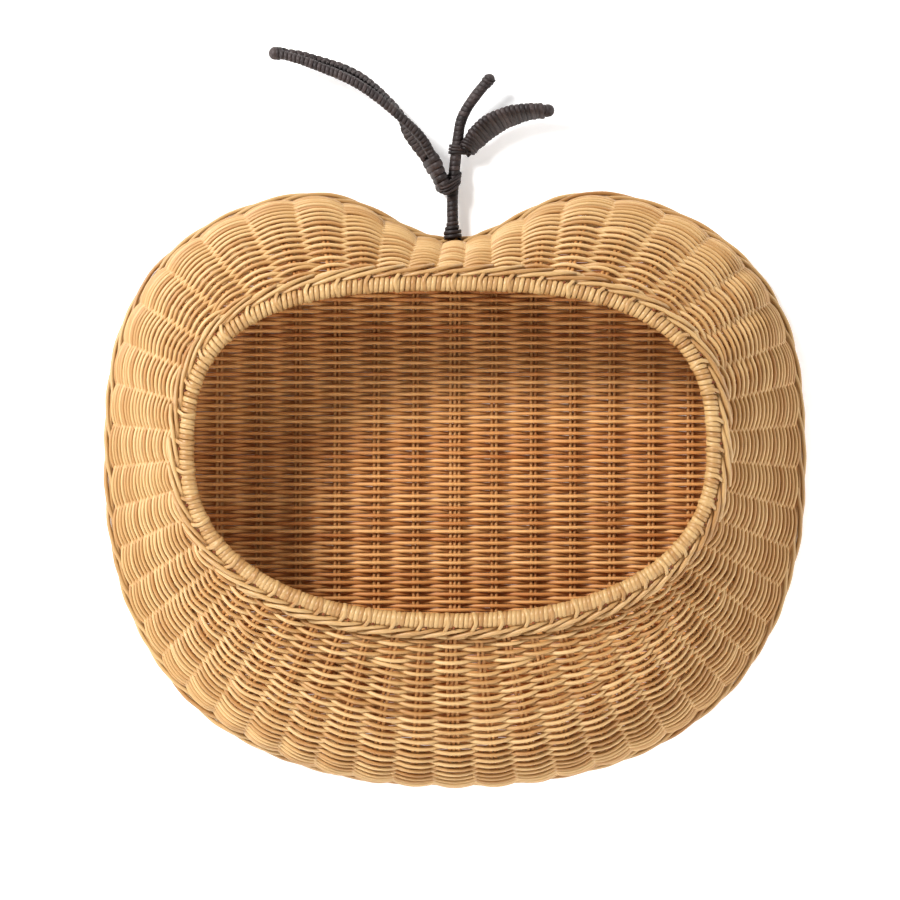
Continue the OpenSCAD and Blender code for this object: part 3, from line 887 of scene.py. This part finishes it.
def figure_eight(canes, first, second, radius, pitch):
    """Strip carried in figures of eight round two rods, all along them."""
    turns = int(length_of(first) / pitch)
    section = flat_section(1.2, pitch * 1.02, 8)
    t = np.linspace(0, 1, 29)
    for turn in range(turns):
        share = (turn + t) / turns
        a, b = sampled(first, share), sampled(second, share)
        span = np.linalg.norm(b - a, axis=1)[:, None]
        across = (b - a) / span
        ahead = ahead_at(first, share, 0.02)
        normal = unit(np.cross(ahead, across))
        turned_by = 2 * np.pi * t
        side = np.cos(turned_by)[:, None]
        reach = (span / 2 + 0.6 * radius) * signed_power(side, 0.6)
        line = (a + b) / 2 - reach * across + radius * np.sin(2 * turned_by)[:, None] * normal
        up = unit(np.sin(2 * turned_by)[:, None] * normal - signed_power(side, 3) * across + 1e-3 * normal)
        canes.add(line, up, section, 1 + 0.1 * (random.random() - 0.5))


def build_leaf(side, rods, names, radii, pitches, foot):
    """Two bound rods, the binding between them, the thick turns round their feet, and the end."""
    front, rear = (smooth(line, 8) for line in rods)
    for line, name, radius, pitch in zip((front, rear), names, radii, pitches):
        canes = Canes()
        rod(canes, line, 2.6)
        bind(canes, line, radius, pitch / 1.9, pitch, 0.08, (0.9, 0.9))
        canes.piece(f"{name}_bound", DARK_CANE, "dark_cane", name)
    web = Canes()
    foot_share, foot_radius, foot_turns = foot
    near = np.linspace(0.02, foot_share, 24)
    far = np.linspace(foot_share, 0.995, 90)
    if side == "left":
        figure_eight(web, sampled(front, far), sampled(rear, far), 1.5, 2.65)
    else:
        turns = int(length_of(front) / 3.1)
        bind_both(web, sampled(front, far), sampled(rear, far), 2.7, turns, 2.0)
    bind_both(web, sampled(front, near), sampled(rear, near), foot_radius, foot_turns, 2.2)
    web.piece(f"{side}_leaf_weft", DARK_CANE, "dark_cane", f"{side}_leaf_web")
    end = Canes()
    low, high = millimetres(f"{side}_leaf_tip")
    middle, radius = (low + high) / 2, (high[2] - low[2]) / 2
    towards = unit(middle - (front[-1] + rear[-1]) / 2)
    line = smooth(np.stack([middle - 4.2 * towards, middle + 1.2 * towards]), 4)
    bind(end, line, [0.92 * radius, 1.05 * radius, radius], 1.3, 2.1)
    knob(end, middle + 0.5 * towards, towards, radius)
    end.piece(f"{side}_leaf_end", DARK_CANE, "dark_cane", f"{side}_leaf_tip")


def build_lashings():
    """Cord wound aslant round the stem and the foot of each leaf together."""
    stem = smooth(STEM, 8)
    lashings = (("left", LEFT_FRONT, 4, 4, 0.9), ("right", RIGHT_LOWER, 3, 1, 0.75))
    for side, leaf, turns, rise, reach in lashings:
        low, high = millimetres(f"{side}_leaf_lashing")
        heights = np.linspace(low[2] + 1.2, high[2] - 1.2, 12)
        feet = smooth(leaf, 8)
        at_stem = np.stack([np.interp(heights + rise, stem[:, 2], stem[:, k]) for k in range(3)], -1)
        at_leaf = np.stack([np.interp(heights, feet[:, 2], feet[:, k]) for k in range(3)], -1)
        canes = Canes()
        bind_both(canes, at_stem, mix(at_stem, at_leaf, reach), 3.7, turns)
        canes.piece(f"{side}_lashing", DARK_CANE, "dark_cane", f"{side}_leaf_lashing")


# ---- stage -------------------------------------------------------------------------------


WALL_GLOW = 0.3  # the wall's own share of light beside the basket, as an overexposed backdrop has it
DULL_HALF_WIDTH, DULL_HALF_HEIGHT = 0.172, 0.112  # the oval behind the mouth that doesn't glow


def backdrop_material():
    """White wall, which hides nothing from behind and lets the studio's light through."""
    n = Nodes("white_wall")
    behind = n.add("ShaderNodeNewGeometry").outputs["Backfacing"]
    shadow = n.add("ShaderNodeLightPath").outputs["Is Shadow Ray"]
    clear = n.maths("MAXIMUM", behind, shadow)
    paint = n.add("ShaderNodeBsdfDiffuse", Color=(0.93, 0.93, 0.93, 1)).outputs[0]
    place = n.add("ShaderNodeNewGeometry").outputs["Position"]
    oval_scale = (1 / DULL_HALF_WIDTH, 0, 1 / DULL_HALF_HEIGHT)
    scaled = n.add("ShaderNodeVectorMath", {"operation": "MULTIPLY"}, _0=place, _1=oval_scale)
    away = n.add("ShaderNodeVectorMath", {"operation": "LENGTH"}, _0=scaled.outputs[0]).outputs["Value"]
    strength = n.ranged(away, From_Min=0.95, From_Max=1.0, To_Max=WALL_GLOW)
    glow = n.add("ShaderNodeEmission", Color=(1, 1, 1, 1), Strength=strength).outputs[0]
    white = n.add("ShaderNodeAddShader", _0=paint, _1=glow).outputs[0]
    nothing = n.add("ShaderNodeBsdfTransparent").outputs[0]
    shader = n.add("ShaderNodeMixShader", _0=clear, _1=white, _2=nothing).outputs[0]
    n.tree.links.new(shader, n.output.inputs[0])
    return n.material


def plane(name, corners, material):
    mesh = bpy.data.meshes.new(name)
    mesh.from_pydata(corners, [], [(0, 1, 2, 3)])
    mesh.materials.append(material)
    thing = bpy.data.objects.new(name, mesh)
    bpy.context.scene.collection.objects.link(thing)


def area_light(name, place, target, size, power):
    data = bpy.data.lights.new(name, "AREA")
    data.shape = "DISK"
    data.size, data.energy = size, power
    light = bpy.data.objects.new(name, data)
    bpy.context.scene.collection.objects.link(light)
    light.location = place
    light.rotation_euler = (Vector(target) - Vector(place)).to_track_quat("-Z", "Y").to_euler()
    light.visible_camera = False


def set_world():
    """Studio that is dark in front of the wall and bright round the sides."""
    world = bpy.data.worlds.new("studio")
    world.use_nodes = True
    tree = world.node_tree
    place = tree.nodes.new("ShaderNodeTexCoord")
    axes = tree.nodes.new("ShaderNodeSeparateXYZ")
    share = tree.nodes.new("ShaderNodeMapRange")
    for name, value in (("From Min", -0.8), ("From Max", -0.4), ("To Min", 0.07), ("To Max", 0.95)):
        share.inputs[name].default_value = value
    tree.links.new(place.outputs["Generated"], axes.inputs[0])
    tree.links.new(axes.outputs["Y"], share.inputs[0])
    tree.links.new(share.outputs[0], tree.nodes["Background"].inputs[1])
    tree.nodes["Background"].inputs[0].default_value = (1, 1, 1, 1)
    bpy.context.scene.world = world


def set_stage():
    half, drop = 4.0, 0.75
    wall_y = 0.0012
    plane(
        "backdrop",
        [(-half, wall_y, -drop), (half, wall_y, -drop), (half, wall_y, half), (-half, wall_y, half)],
        backdrop_material(),
    )
    floor = Nodes("pale_floor")
    grey = floor.add("ShaderNodeBsdfDiffuse", Color=(0.8, 0.8, 0.8, 1)).outputs[0]
    floor.tree.links.new(grey, floor.output.inputs[0])
    plane(
        "floor",
        [(-half, -half, -drop), (half, -half, -drop), (half, half, -drop), (-half, half, -drop)],
        floor.material,
    )
    area_light("key", (-1.55, -2.05, 1.25), (0, 0, 0), 0.8, 77)
    area_light("side", (2.2, -0.7, -0.5), (0.1, 0, -0.05), 1.2, 12)
    set_world()
    bpy.context.scene.view_settings.view_transform = "Standard"
    bpy.context.scene.view_settings.look = "Medium High Contrast"


def set_camera():
    """Long lens, square to the wall and nearly level with the middle of the mouth."""
    data = bpy.data.cameras.new("camera")
    data.sensor_width, data.lens = 36, 137.5
    camera = bpy.data.objects.new("camera", data)
    bpy.context.scene.collection.objects.link(camera)
    camera.location = (-0.0029, -2.0, 0.0012)
    camera.rotation_euler = (math.pi / 2, 0, 0)
    bpy.context.scene.camera = camera


# ---- assembly ----------------------------------------------------------------------------

set_camera()
weave_wall()
stake_wall()
weave_panel()
stake_panel()
edge_hoops()
roll_back_border()
hang()
wrap_rim()
lash_rim()
roll_rim_border()
build_stem()
build_leaf("left", (LEFT_FRONT, LEFT_REAR), LEFT_RODS, LEFT_RADII, LEFT_PITCHES, LEFT_FOOT)
build_leaf("right", (RIGHT_UPPER, RIGHT_LOWER), RIGHT_RODS, RIGHT_RADII, RIGHT_PITCHES, RIGHT_FOOT)
build_lashings()
set_stage()
